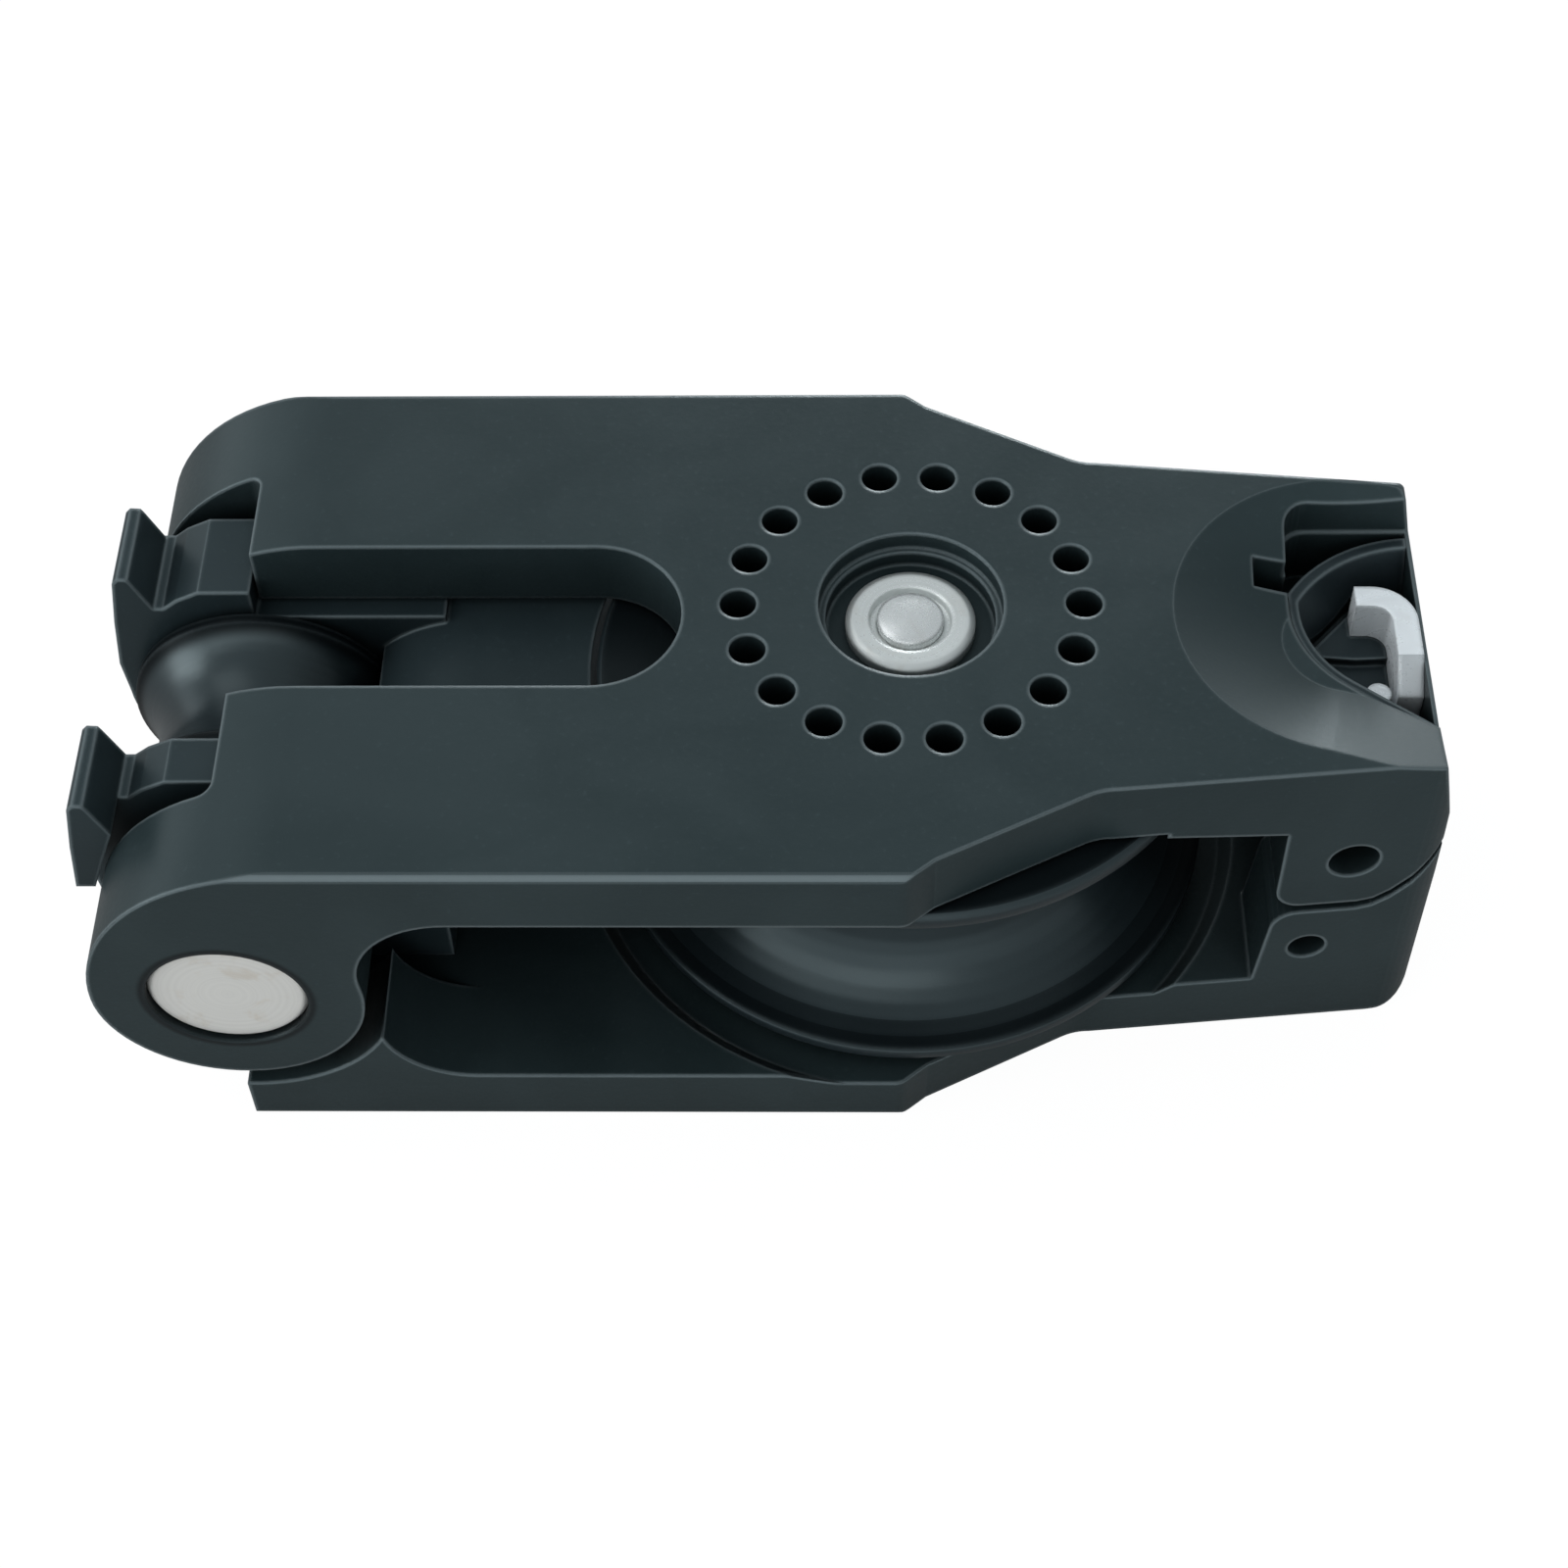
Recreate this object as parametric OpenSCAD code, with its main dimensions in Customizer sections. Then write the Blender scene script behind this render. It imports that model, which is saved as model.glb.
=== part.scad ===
// Flat block with a wide main sheave between two moulded cheeks, a cross roller on a
// stout pin at the left end, and a dished head with a bent steel clip at the right end.
// Millimetres. X runs along the block from the roller to the head, Z is the main axle.
// The block lies on its lower cheek at z = 0, and x = 0, y = 0 is the middle of its box.

/* [Block] */
// Thickness over both cheeks
block_h = 27; // [24:0.5:32]
// Width over the parallel part of the cheeks
cheek_w = 39.4; // [38:0.2:46]
// Thickness of the upper cheek's plate
top_t = 5; // [4.5:0.1:6]
// Thickness of the lower cheek's plate
low_t = 4.9; // [4.5:0.1:6]
// Main axle to the left end of the lugs
lug_reach = 50.9; // [50:0.1:58]
// Main axle to the end of the head
head_reach = 33.5; // [33:0.1:38]
// How far the main axle sits off the middle line, towards the far side
axle_off = 1.3; // [0:0.1:2]

/* [Outline] */
// Main axle to the start of the taper
taper_start = -0.5; // [-2:0.1:1]
// Main axle to the end of the taper
taper_end = 11.2; // [9:0.1:14]
// Length of the short steep start of the taper
taper_step_l = 1.7; // [1:0.1:2.5]
// How far that steep start goes in
taper_step_w = 1.4; // [0.6:0.1:1.8]
// Width where the taper ends
neck_w = 26.4; // [25:0.2:30]
// Width at the head
head_w = 22.8; // [22:0.2:26]
// Rounding of the outline where the taper ends
knee_r = 4; // [1:0.5:8]
// Rounding of the outline where the taper starts
shoulder_r = 1.2; // [0.6:0.1:2]
// Rounding of the head's corners, seen from above
head_corner_r = 2.4; // [1:0.1:4]
// How far the head's top edge is set back from its end
head_rake = 1.6; // [1:0.1:3]
// Rounding of the long outer edges
edge_r = 0.5; // [0.3:0.1:1.2]

/* [Lugs and pin] */
// Diameter of the pivot pin
pin_d = 10; // [8:0.1:12]
// Radius of the lugs round the pin
lug_r = 8.5; // [7.5:0.1:10]
// Thickness of one lug
lug_t = 6.8; // [5:0.1:8]
// Depth of the pivot pin's axis below the upper face
pin_drop = 13; // [12:0.1:13.6]
// Radius of the web between a lug and the plate
lug_fillet = 6; // [3:0.1:8]
// Gap between the lugs and the lower cheek's cradle
cradle_gap = 1.6; // [1.2:0.1:2]
// How far the lower cheek reaches past the pin's axis
low_lip = 0.4; // [0:0.1:2]
// Depth of the horns' tips below the pin's axis
horn_drop = 4.4; // [3.6:0.1:6]
// Radius of the horns' inner side
horn_fillet = 5.7; // [4:0.1:7]
// How deep the pin's ends lie in the lugs
pin_recess = 0.4; // [0.1:0.1:1]
// Main axle to the step of the notch between the lugs
notch_reach = 42.2; // [41:0.1:46]
// Rounding of the notch's inner corners, seen from above
notch_corner_r = 0.9; // [0.4:0.1:2]

/* [Slot] */
// Width of the slot over the roller
slot_w = 11.3; // [11:0.1:12]
// Main axle to the round end of the slot
slot_end = 14.3; // [13.6:0.1:16]
// How far the slot sits off the middle line, towards the far side
slot_off = 0.4; // [0:0.1:1]

/* [Main sheave] */
// Diameter of the main sheave
sheave_d = 40; // [36:0.5:41]
// Thickness of the sheave's rims
rim_t = 1.1; // [0.8:0.1:1.6]
// Depth of the sheave's groove
groove_depth = 6.4; // [5:0.1:6.8]
// Depth of the recess for the sheave in the lower cheek
recess_depth = 0.9; // [0.5:0.1:1.2]
// Radial gap round the sheave at the floor of that recess
recess_gap = 1.4; // [0.8:0.1:1.8]
// Radial gap round the sheave under the neck of the upper cheek
relief_gap = 1; // [0.6:0.1:1.6]
// How much the upper cheek thickens from the taper to the head's boss
neck_rise = 1.1; // [0.4:0.1:1.6]
// Gap between the sheave and the upper cheek
top_gap = 0.5; // [0.3:0.05:0.8]
// Gap between the sheave and the floor of its recess
low_gap = 1.25; // [0.8:0.05:1.5]
// Diameter of the bearing balls
ball_d = 3.2; // [2.8:0.1:3.4]
// Radius of the balls' circle
ball_circle_r = 9.3; // [9:0.1:9.6]
// Height of each row of balls from the middle of the sheave
ball_row_z = 4.4; // [3.6:0.1:5]
// Thickness of the rings that keep the balls in
keeper_t = 0.8; // [0.6:0.1:1.2]
// Running gap of the balls
ball_gap = 0.05; // [0.03:0.01:0.08]

/* [Axle and holes] */
// Diameter of the axle tube
axle_d = 6.4; // [5.6:0.1:7]
// Diameter of the axle's heads
axle_head_d = 8.2; // [7.8:0.1:9.4]
// Diameter of the solid core
core_d = 4.2; // [3.6:0.1:4.4]
// Depth of the axle heads below the cheeks' faces
head_sink = 1.5; // [1.2:0.1:1.8]
// Thickness of the axle's heads
axle_head_t = 0.9; // [0.7:0.1:1.1]
// Diameter of the well round each axle head
well_d = 11.6; // [11:0.1:12.4]
// Width of the step inside the well
well_step = 0.45; // [0.3:0.05:0.6]
// Radius of the ring of rinsing holes
hole_ring_r = 10.8; // [10.2:0.1:11.2]
// Diameter of one rinsing hole
hole_d = 2.3; // [1.6:0.1:2.6]
// Number of rinsing holes
hole_count = 18; // [12:1:20]

/* [Roller] */
// Diameter of the cross roller
roller_d = 17.8; // [17:0.1:18.4]
// Width of the roller
roller_w = 10.2; // [9.6:0.1:10.6]
// How far the roller sits off the middle line, towards the near side
roller_off = 1.1; // [0.6:0.1:1.3]
// Smallest radius in the roller's groove
roller_neck_r = 6.8; // [6.4:0.1:7.6]
// Thickness of the roller's rims
roller_rim_t = 0.7; // [0.4:0.1:1]
// Wall of the liner between roller and pin
liner_t = 0.6; // [0.4:0.1:0.8]
// Running gap of the liner on the pin
running_gap = 0.05; // [0.03:0.01:0.08]
// Thickness of the thrust washers beside the roller
washer_t = 0.4; // [0.3:0.05:0.5]
// Width of the thrust washers' rings
washer_w = 2; // [1.2:0.1:2.2]

/* [Line guide] */
// Gap between the guide's far arm and the lug beside it
arm_gap = 1.7; // [1:0.1:2.4]
// Radius of the arms' round ends
arm_r = 9.6; // [9.3:0.1:9.7]
// Half the width of the saddle
saddle_half_w = 8.4; // [7:0.1:9]
// Radius of the hubs between the arms and the lugs
hub_r = 7.2; // [6.4:0.1:8]
// Depth of the arms' tops below the block's face
arm_drop = 3; // [2.5:0.1:4]
// Depth of the saddle's top below the block's face
saddle_drop = 5.7; // [5.4:0.1:7]
// Radius of the saddle's rounded end
saddle_r = 9; // [7:0.1:11]
// Depth of the ears' tops below the block's face
ear_drop = 1.7; // [1.2:0.1:2.4]
// Thickness of the ears at their tops
ear_t = 1.2; // [0.9:0.1:1.6]
// Height of the ears
ear_h = 8.4; // [7:0.1:9]
// Width of each ear across the block
ear_w = 6.2; // [5:0.1:6.4]
// How far the foot of each ear stands out past the lugs
ear_reach = 1.3; // [0.9:0.1:2]
// How far each ear leans in from its foot to its tip
ear_lean = 1.1; // [0.6:0.1:2]
// Depth of the groove between ear and arm below the block's face
ear_groove = 4.6; // [4:0.1:5]
// Clearance between the guide and what turns beside it
guide_gap = 0.4; // [0.3:0.05:0.5]

/* [Head] */
// Main axle to the left face of the head's bosses
boss_reach = 23; // [22.6:0.1:24]
// Depth of the joint between the bosses below the block's face
part_drop = 14.3; // [14:0.1:15]
// Rise of that joint towards the head's end
part_rise = 4; // [2:0.1:4.5]
// Gap between the bosses
part_gap = 0.8; // [0.4:0.1:1]
// Rounding of the bosses' inner corners
boss_r = 1.7; // [1:0.1:2]
// Radius of the dish in the head, at the face
dish_r = 11.1; // [10:0.1:11.2]
// Main axle to the middle of the dish
dish_reach = 27.4; // [27:0.1:28]
// How far the dish sits off the middle line
dish_off = 0.6; // [0:0.1:1]
// Depth of the dish
dish_depth = 3; // [2:0.1:4]
// Angle at which the dish's near side runs out to the head's corner
dish_flare = 18; // [8:1:20]
// Radius at the bottom of the dish
dish_floor_r = 4; // [3:0.1:5]
// Middle line to the throat's far side
throat_far = 10.2; // [9:0.1:10.4]
// Radius of the throat's near side
throat_r = 8; // [6:0.1:9]
// Width of the keyway beside the throat
key_w = 2; // [1.2:0.1:2.4]
// How far the keyway reaches left of the throat
key_l = 2.2; // [1.6:0.1:2.6]
// Depth of the insert's rim and of the head's end wall below the face
ledge_drop = 3.3; // [3:0.1:3.8]
// Height of the insert
insert_t = 4.2; // [4:0.1:4.3]
// Radius of the insert's bowl at its rim, seen from above
bowl_r = 9.4; // [9:0.1:9.8]
// Width of the insert's rim
bowl_rim = 0.8; // [0.5:0.1:1.2]
// Depth of the bowl below its rim
bowl_depth = 3.3; // [2.8:0.1:3.5]
// Thickness of the head's end wall
end_wall = 1.3; // [1:0.1:2]
// Diameter of the cross hole in the upper boss
upper_hole_d = 3.2; // [2:0.1:3.6]
// Diameter of the cross hole in the lower boss
lower_hole_d = 2.4; // [1.6:0.1:3]
// Thickness of the steel clip
clip_t = 1.6; // [1:0.1:1.8]
// Length of the clip's long leg
clip_l = 7.7; // [7:0.1:9]
// Length of the clip's short leg
clip_foot = 3.8; // [3:0.1:4.6]
// Depth of the clip's top edge below the block's face
clip_drop = 3; // [2.4:0.1:4]
// Height of the clip
clip_h = 3.9; // [3.6:0.1:4]
// Bend of the clip, on its inner side
clip_bend_r = 1.2; // [0.8:0.1:1.6]
// Diameter of the small pin beside the clip
clip_pin_d = 1.6; // [1:0.1:2]

/* [Screws] */
// Diameter of the screws' shanks
screw_d = 2.2; // [1.8:0.1:2.5]
// Diameter of the screws' heads
screw_head_d = 4; // [3.6:0.1:4.4]
// Thickness of the screws' heads
screw_head_t = 1.4; // [1.2:0.1:1.8]
// Depth of the screws' heads below the lower face
screw_sink = 0.4; // [0.2:0.1:0.8]

/* [Hidden] */
$fn = 72;
small = 0.01;
seat_gap = 0.02;

half_w = cheek_w/2;
ear_out = lug_reach + ear_reach;
axle_x = (ear_out - head_reach)/2;
far_y = max(half_w, axle_off + sheave_d/2);
shift_y = (half_w - far_y)/2;
top_z = block_h - top_t;
mid_z = (low_t + top_z)/2;

pin_x = -(lug_reach - lug_r);
pin_z = block_h - pin_drop;
pin_r = pin_d/2;
lug_in = half_w - lug_t;
nose_r = pin_drop;
nose_x = -(lug_reach - nose_r);
cradle_r = lug_r + cradle_gap;
low_end_x = pin_x - low_lip;
horn_x = pin_x + sqrt(cradle_r*cradle_r - horn_drop*horn_drop);

sheave_r = sheave_d/2;
floor_low = low_t - recess_depth;
sheave_low = floor_low + low_gap;
sheave_top = top_z - top_gap;
sheave_mid = (sheave_low + sheave_top)/2;
recess_r = sheave_r + recess_gap;
ball_r = ball_d/2;
race_out_r = ball_circle_r + ball_r + ball_gap;
race_in_r = ball_circle_r - ball_r - ball_gap;
ball_count = floor(180/asin((ball_r + ball_gap)/ball_circle_r));
axle_r = axle_d/2;
core_r = core_d/2;
keeper_lap = 1.2;

roller_r = roller_d/2;
roller_y = -roller_off;
arm_in = roller_w/2 + washer_t + guide_gap;
arm_out = lug_in - arm_gap - slot_off;
saddle_z = block_h - saddle_drop;
saddle_x = -(sheave_r + saddle_r + 1);
ear_foot_z = block_h - ear_drop - ear_h;

ledge_z = block_h - ledge_drop;
bed_z = ledge_z - insert_t;
boss_x = boss_reach;
part_z = block_h - part_drop;
inner_x = head_reach - end_wall;
throat_x = dish_reach - dish_floor_r + 0.6;
throat_low_r = 1.6;
rim_step = 0.15;
dish_slope = (dish_r - dish_floor_r)/dish_depth;
pocket_near = dish_off - 0.75*throat_r;
pocket_far = dish_off + 0.8*throat_r;
key_y = dish_off + 3.7;
clip_low = block_h - clip_drop - clip_h;
clip_far = dish_off + 4.6;
clip_cut = 2.1;
clip_pin_y = dish_off - 2.3;
clip_pin_r = clip_pin_d/2;
clip_pin_x = inner_x - clip_t - clip_pin_r - 0.25;

screw_r = screw_d/2;
head_screw_x = head_reach - 1.5*screw_d;
head_screw_y = head_w/2 - 1.2*screw_d;
guide_screw_x = -(sheave_r + screw_head_d);
guide_screw_y = saddle_half_w - 0.95*screw_head_d;
head_screw_l = bed_z - screw_sink - 0.5*screw_d;
guide_screw_l = saddle_z - low_t - screw_sink - screw_head_t - screw_d;
top_hole_x = boss_x + 4.5;
top_hole_z = bed_z - upper_hole_d/2 - 0.3;
low_hole_x = boss_x + 2.7;
low_hole_z = low_t + lower_hole_d/2 + 2.2;

// Points on an arc from angle a0 to a1
function arc(cx, cy, r, a0, a1, n = 8) =
  [for (i = [0:n]) let (a = a0 + (a1 - a0)*i/n) [cx + r*cos(a), cy + r*sin(a)]];

// Stands an X-Z profile up and gives it a width from y0 to y1
module across(y0, y1) {
  translate([0, y1, 0]) rotate([90, 0, 0]) linear_extrude(y1 - y0) children();
}
// A round hole or rod along Y
module cross_rod(x, z, r, y0, y1) {
  translate([x, y1, z]) rotate([90, 0, 0]) cylinder(r = r, h = y1 - y0);
}

// The cheeks' outline from above, from x0 to the head
module outline(x0) {
  neck = neck_w/2;
  head = head_w/2;
  c = head_corner_r;
  step = [taper_start + taper_step_l, half_w - taper_step_w];
  steep = atan2(taper_step_w, taper_step_l);
  turn = atan2(step[1] - neck, taper_end - step[0]);
  side = concat([[x0, half_w]],
    arc(taper_start - shoulder_r*tan(steep/2), half_w - shoulder_r, shoulder_r, 90, 90 - steep, 5),
    [step],
    arc(taper_end + knee_r*tan(turn/2), neck + knee_r, knee_r, 270 - turn, 270, 6),
    arc(head_reach - c, head - c, c, 90, 0, 8));
  polygon(concat(side, [for (i = [len(side) - 1:-1:0]) [side[i][0], -side[i][1]]]));
}

// The cheeks' envelope seen from the side, with the raked and rounded head
module side_profile(x0) {
  foot_r = 2.8;
  polygon(concat([[x0, 0]],
    arc(head_reach - foot_r, foot_r, foot_r, -90, 0, 8),
    [[head_reach, part_z - foot_r], [head_reach - 0.3*head_rake, ledge_z - foot_r]],
    arc(head_reach - head_rake - edge_r, block_h - edge_r, edge_r, 0, 90, 4),
    [[x0, block_h]]));
}

// The cheeks' envelope seen from the end, with the long edges rounded
module end_profile(w, h, r = edge_r) {
  polygon(concat(arc(w/2 - r, r, r, -90, 0, 4), arc(w/2 - r, h - r, r, 0, 90, 4),
                 arc(-w/2 + r, h - r, r, 90, 180, 4), arc(-w/2 + r, r, r, 180, 270, 4)));
}

// The whole block's envelope: outline, side and end profiles together
module envelope(x0) {
  intersection() {
    linear_extrude(block_h) outline(x0);
    across(-half_w - 1, half_w + 1) side_profile(x0);
    translate([x0, 0, 0]) rotate([90, 0, 90]) linear_extrude(head_reach - x0 + 1)
      end_profile(cheek_w, block_h);
  }
}

// A lug with its round nose and the web up to the plate, seen from the side
module lug_profile() {
  reach = lug_r + lug_fillet;
  drop = pin_z - (top_z - lug_fillet);
  web_x = pin_x + sqrt(reach*reach - drop*drop);
  translate([pin_x, pin_z]) circle(lug_r);
  intersection() {
    translate([nose_x, pin_z]) circle(nose_r);
    translate([nose_x - nose_r, pin_z]) square([nose_r, nose_r]);
  }
  difference() {
    polygon([[pin_x, pin_z], [web_x, top_z - lug_fillet], [web_x, top_z + small],
             [web_x, block_h], [nose_x, block_h], [nose_x, pin_z]]);
    translate([web_x, top_z - lug_fillet]) circle(lug_fillet);
  }
}

// The joint between the two bosses from left to right, raised by a shift
function joint(x0, shift) = let (z = part_z + shift, x1 = head_reach - 5.2, r = part_rise)
  [[x0, z], [x1, z], [x1 + 0.25*r, z + 0.06*r], [x1 + 0.5*r, z + 0.25*r],
   [x1 + 0.78*r, z + 0.58*r], [x1 + 1.05*r, z + r], [x1 + 1.7*r, z + 2*r]];

// The upper boss above the joint, seen from the side
module upper_boss() {
  polygon(concat([[taper_end, top_z + small], [boss_x, top_z - neck_rise]],
    arc(boss_x + boss_r, part_z + part_gap/2 + boss_r, boss_r, 180, 270, 6),
    joint(boss_x + 2*boss_r, part_gap/2), [[head_reach + 4, block_h], [taper_end, block_h]]));
}

// The lower boss below the joint, with its slanted left face
module lower_boss() {
  polygon(concat([[boss_x - 0.3*boss_r, 0], [boss_x - 0.3*boss_r, low_t]],
    arc(boss_x + boss_r, part_z - part_gap/2 - boss_r, boss_r, 180, 90, 6),
    joint(boss_x + 2*boss_r, -part_gap/2), [[head_reach + 4, 0]]));
}

// The well and the rinsing holes that both cheeks have round the axle, facing up
module axle_cuts(face, plate) {
  sign = face > mid_z ? 1 : -1;
  translate([0, axle_off, face]) scale_z(sign) {
    translate([0, 0, -head_sink + 0.2]) cylinder(d = well_d, h = head_sink);
    translate([0, 0, -head_sink - axle_head_t])
      cylinder(d = well_d - 2*well_step, h = head_sink);
    translate([0, 0, -plate - 1]) cylinder(r = axle_r + seat_gap, h = plate + 2);
    for (i = [0:hole_count - 1]) rotate(i*360/hole_count)
      translate([hole_ring_r, 0, -plate - 1]) cylinder(d = hole_d, h = plate + 2, $fn = 24);
  }
}
module scale_z(sign) {
  if (sign > 0) children(); else mirror([0, 0, 1]) children();
}
module scale_y(sign) {
  if (sign > 0) children(); else mirror([0, 1, 0]) children();
}

// The notch between the lugs, seen from above
module notch() {
  r = notch_corner_r;
  polygon(concat([[-lug_reach - 1, -lug_in]], arc(-notch_reach - r, r - lug_in, r, -90, 0, 6),
    arc(-notch_reach - r, lug_in - r, r, 0, 90, 6), [[-lug_reach - 1, lug_in]]));
}

module upper_cheek() {
  color([0.13, 0.15, 0.16])
  difference() {
    union() {
      intersection() {
        envelope(nose_x);
        translate([nose_x, -half_w - 1, top_z]) cube([head_reach - nose_x + 1, cheek_w + 2, top_t + 1]);
      }
      intersection() {
        envelope(nose_x);
        across(-half_w, half_w) upper_boss();
      }
      intersection() {
        across(-half_w, half_w) lug_profile();
        translate([-lug_reach - 1, 0, 0]) rotate([90, 0, 90]) linear_extrude(lug_reach)
          end_profile(cheek_w, block_h);
      }
    }
    // The space between the lugs, below and left of the plate
    translate([-lug_reach - 1, -lug_in, -1]) cube([lug_reach + 1, 2*lug_in, top_z + 1]);
    translate([0, 0, -1]) linear_extrude(block_h + 2) notch();
    // The slot over the roller
    translate([-notch_reach - 1, slot_off - slot_w/2, top_z - 1])
      cube([notch_reach + 1 - slot_end - slot_w/2, slot_w, top_t + 2]);
    translate([-slot_end - slot_w/2, slot_off, top_z - 1]) cylinder(d = slot_w, h = top_t + 2);
    translate([0, axle_off, top_z - neck_rise - 1])
      cylinder(r = sheave_r + relief_gap, h = neck_rise + 1, $fn = 144);
    axle_cuts(block_h, top_t);
    // Room for the roller's rims below the slot's edges
    cross_rod(pin_x, pin_z, roller_r + guide_gap, roller_y - roller_w/2 - guide_gap,
      roller_y + roller_w/2 + guide_gap);
    cross_rod(pin_x, pin_z, pin_r + seat_gap, -half_w - 1, half_w + 1);
    cross_rod(top_hole_x, top_hole_z, upper_hole_d/2, -half_w, half_w);
    head_cuts();
    screw_holes(head_screw_x, head_screw_y, screw_sink + head_screw_l + 0.4);
  }
}

// The throat's outline inside a gap, with the far corner rounded by corner_r
module throat(x1, gap, corner_r) {
  far = throat_far - gap;
  r = throat_r - gap;
  mid = [throat_x + throat_r, dish_off + 0.36*throat_r];
  turn = 233;
  foot = mid + r*[cos(turn), sin(turn)];
  polygon(concat(arc(throat_x + gap + corner_r, far - corner_r, corner_r, 90, 180, 6),
    arc(mid[0], mid[1], r, 180, turn, 10),
    [[x1, foot[1] + (x1 - foot[0])*tan(turn + 90)], [x1, far]]));
}

// Dish, throat and pocket that are cut into the head
module head_cuts() {
  rise = dish_depth + 1;
  wide = dish_r + dish_slope;
  lap = 0.05;
  translate([dish_reach, dish_off, block_h - dish_depth]) {
    cylinder(r1 = dish_floor_r, r2 = wide, h = rise, $fn = 144);
    rotate(-dish_flare) rotate([90, 0, 90]) linear_extrude(head_reach)
      polygon([[0, 0], [lap - dish_floor_r, 0], [lap - wide, rise], [0, rise]]);
  }
  // The throat, open through the head's end above the ledge
  translate([0, 0, ledge_z]) linear_extrude(ledge_drop + 1)
    throat(head_reach + 1, 0, throat_low_r);
  translate([0, 0, bed_z]) linear_extrude(insert_t + 1) throat(inner_x, rim_step, throat_low_r);
  // The keyway in the throat's left side
  translate([throat_x - key_l, key_y, bed_z]) cube([key_l + 1, key_w, block_h]);
  // The pocket below the ledge, open towards the sheave
  translate([boss_x - 1, pocket_near, part_z - 1])
    cube([inner_x - boss_x + 1, pocket_far - pocket_near, bed_z - part_z + 2]);
}

// Screw holes in a pair, open downwards
module screw_holes(x, y, depth) {
  for (s = [-1, 1]) translate([x, s*y, -1]) cylinder(r = screw_r + seat_gap, h = depth + 1, $fn = 32);
}
module screw_pair(x, y, length) {
  color([0.75, 0.76, 0.78])
  for (s = [-1, 1]) translate([x, s*y, screw_sink]) difference() {
    union() {
      cylinder(d = screw_head_d, h = screw_head_t, $fn = 32);
      cylinder(r = screw_r, h = length, $fn = 32);
    }
    translate([0, 0, -small]) cylinder(d = 1.9, h = 0.9, $fn = 6);
  }
}

module lower_cheek() {
  color([0.12, 0.14, 0.15])
  difference() {
    union() {
      intersection() {
        envelope(low_end_x);
        translate([low_end_x, -half_w - 1, -1])
          cube([head_reach - low_end_x + 1, cheek_w + 2, low_t + 1]);
      }
      intersection() {
        envelope(low_end_x);
        across(-half_w, half_w) lower_boss();
      }
      intersection() {
        envelope(low_end_x);
        across(-half_w, half_w) difference() {
          translate([low_end_x, low_t - small])
            square([horn_x + horn_fillet - low_end_x, pin_z - horn_drop - low_t]);
          translate([horn_x + 0.98*horn_fillet, low_t + horn_fillet]) circle(horn_fillet);
        }
      }
    }
    // The cradle for the lugs and the guide's arms
    cross_rod(pin_x, pin_z, cradle_r, -half_w - 1, half_w + 1);
    // Room for the guide between the horns
    translate([low_end_x - 1, -lug_in, low_t]) cube([20, 2*lug_in, 10]);
    translate([0, axle_off, floor_low])
      cylinder(r1 = recess_r, r2 = recess_r + recess_depth + 1, h = recess_depth + 1, $fn = 144);
    axle_cuts(0, low_t);
    cross_rod(low_hole_x, low_hole_z, lower_hole_d/2, -half_w, half_w);
    // The hollow of the boss, open towards the sheave
    translate([boss_x - 2, pocket_near, low_t])
      cube([inner_x - boss_x + 2, pocket_far - pocket_near, block_h]);
    screw_holes(head_screw_x, head_screw_y, part_z + part_rise + 1);
    screw_holes(guide_screw_x, guide_screw_y, low_t + 1);
    for (p = [[head_screw_x, head_screw_y], [guide_screw_x, guide_screw_y]]) for (s = [-1, 1])
      translate([p[0], s*p[1], -1])
        cylinder(d = screw_head_d + 0.3, h = screw_sink + screw_head_t + 1, $fn = 32);
  }
}

module main_sheave() {
  groove_half = (sheave_top - sheave_low)/2 - rim_t;
  groove_r = (groove_half*groove_half + groove_depth*groove_depth)/(2*groove_depth);
  span = asin(groove_half/groove_r);
  lip = 0.3;
  color([0.10, 0.11, 0.12])
  translate([0, axle_off, 0]) difference() {
    rotate_extrude($fn = 144) polygon(concat(
      [[race_out_r, sheave_low], [sheave_r - lip, sheave_low], [sheave_r, sheave_low + lip]],
      arc(sheave_r - groove_depth + groove_r, sheave_mid, groove_r, 180 + span, 180 - span, 20),
      [[sheave_r, sheave_top - lip], [sheave_r - lip, sheave_top], [race_out_r, sheave_top]]));
    for (z = [sheave_low - 1, sheave_top - keeper_t])
      translate([0, 0, z]) cylinder(r = race_out_r + keeper_lap + seat_gap, h = keeper_t + 1);
  }
}

module keeper(z) {
  color([0.16, 0.17, 0.18])
  translate([0, axle_off, z]) difference() {
    cylinder(r = race_out_r + keeper_lap, h = keeper_t);
    translate([0, 0, -1]) cylinder(r = race_in_r + 0.3, h = keeper_t + 2);
  }
}
module keeper_upper() { keeper(sheave_top - keeper_t); }
module keeper_lower() { keeper(sheave_low); }

module sheave_hub() {
  color([0.85, 0.85, 0.82])
  translate([0, axle_off, floor_low]) difference() {
    cylinder(r = race_in_r, h = top_z - floor_low);
    translate([0, 0, -1]) cylinder(r = axle_r + seat_gap, h = block_h);
  }
}

module ball_row(z) {
  color([0.9, 0.9, 0.88])
  for (i = [0:ball_count - 1]) translate([0, axle_off, z]) rotate(i*360/ball_count)
    translate([ball_circle_r, 0, 0]) sphere(d = ball_d, $fn = 24);
}
module balls_upper() { ball_row(sheave_mid + ball_row_z); }
module balls_lower() { ball_row(sheave_mid - ball_row_z); }

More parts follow.
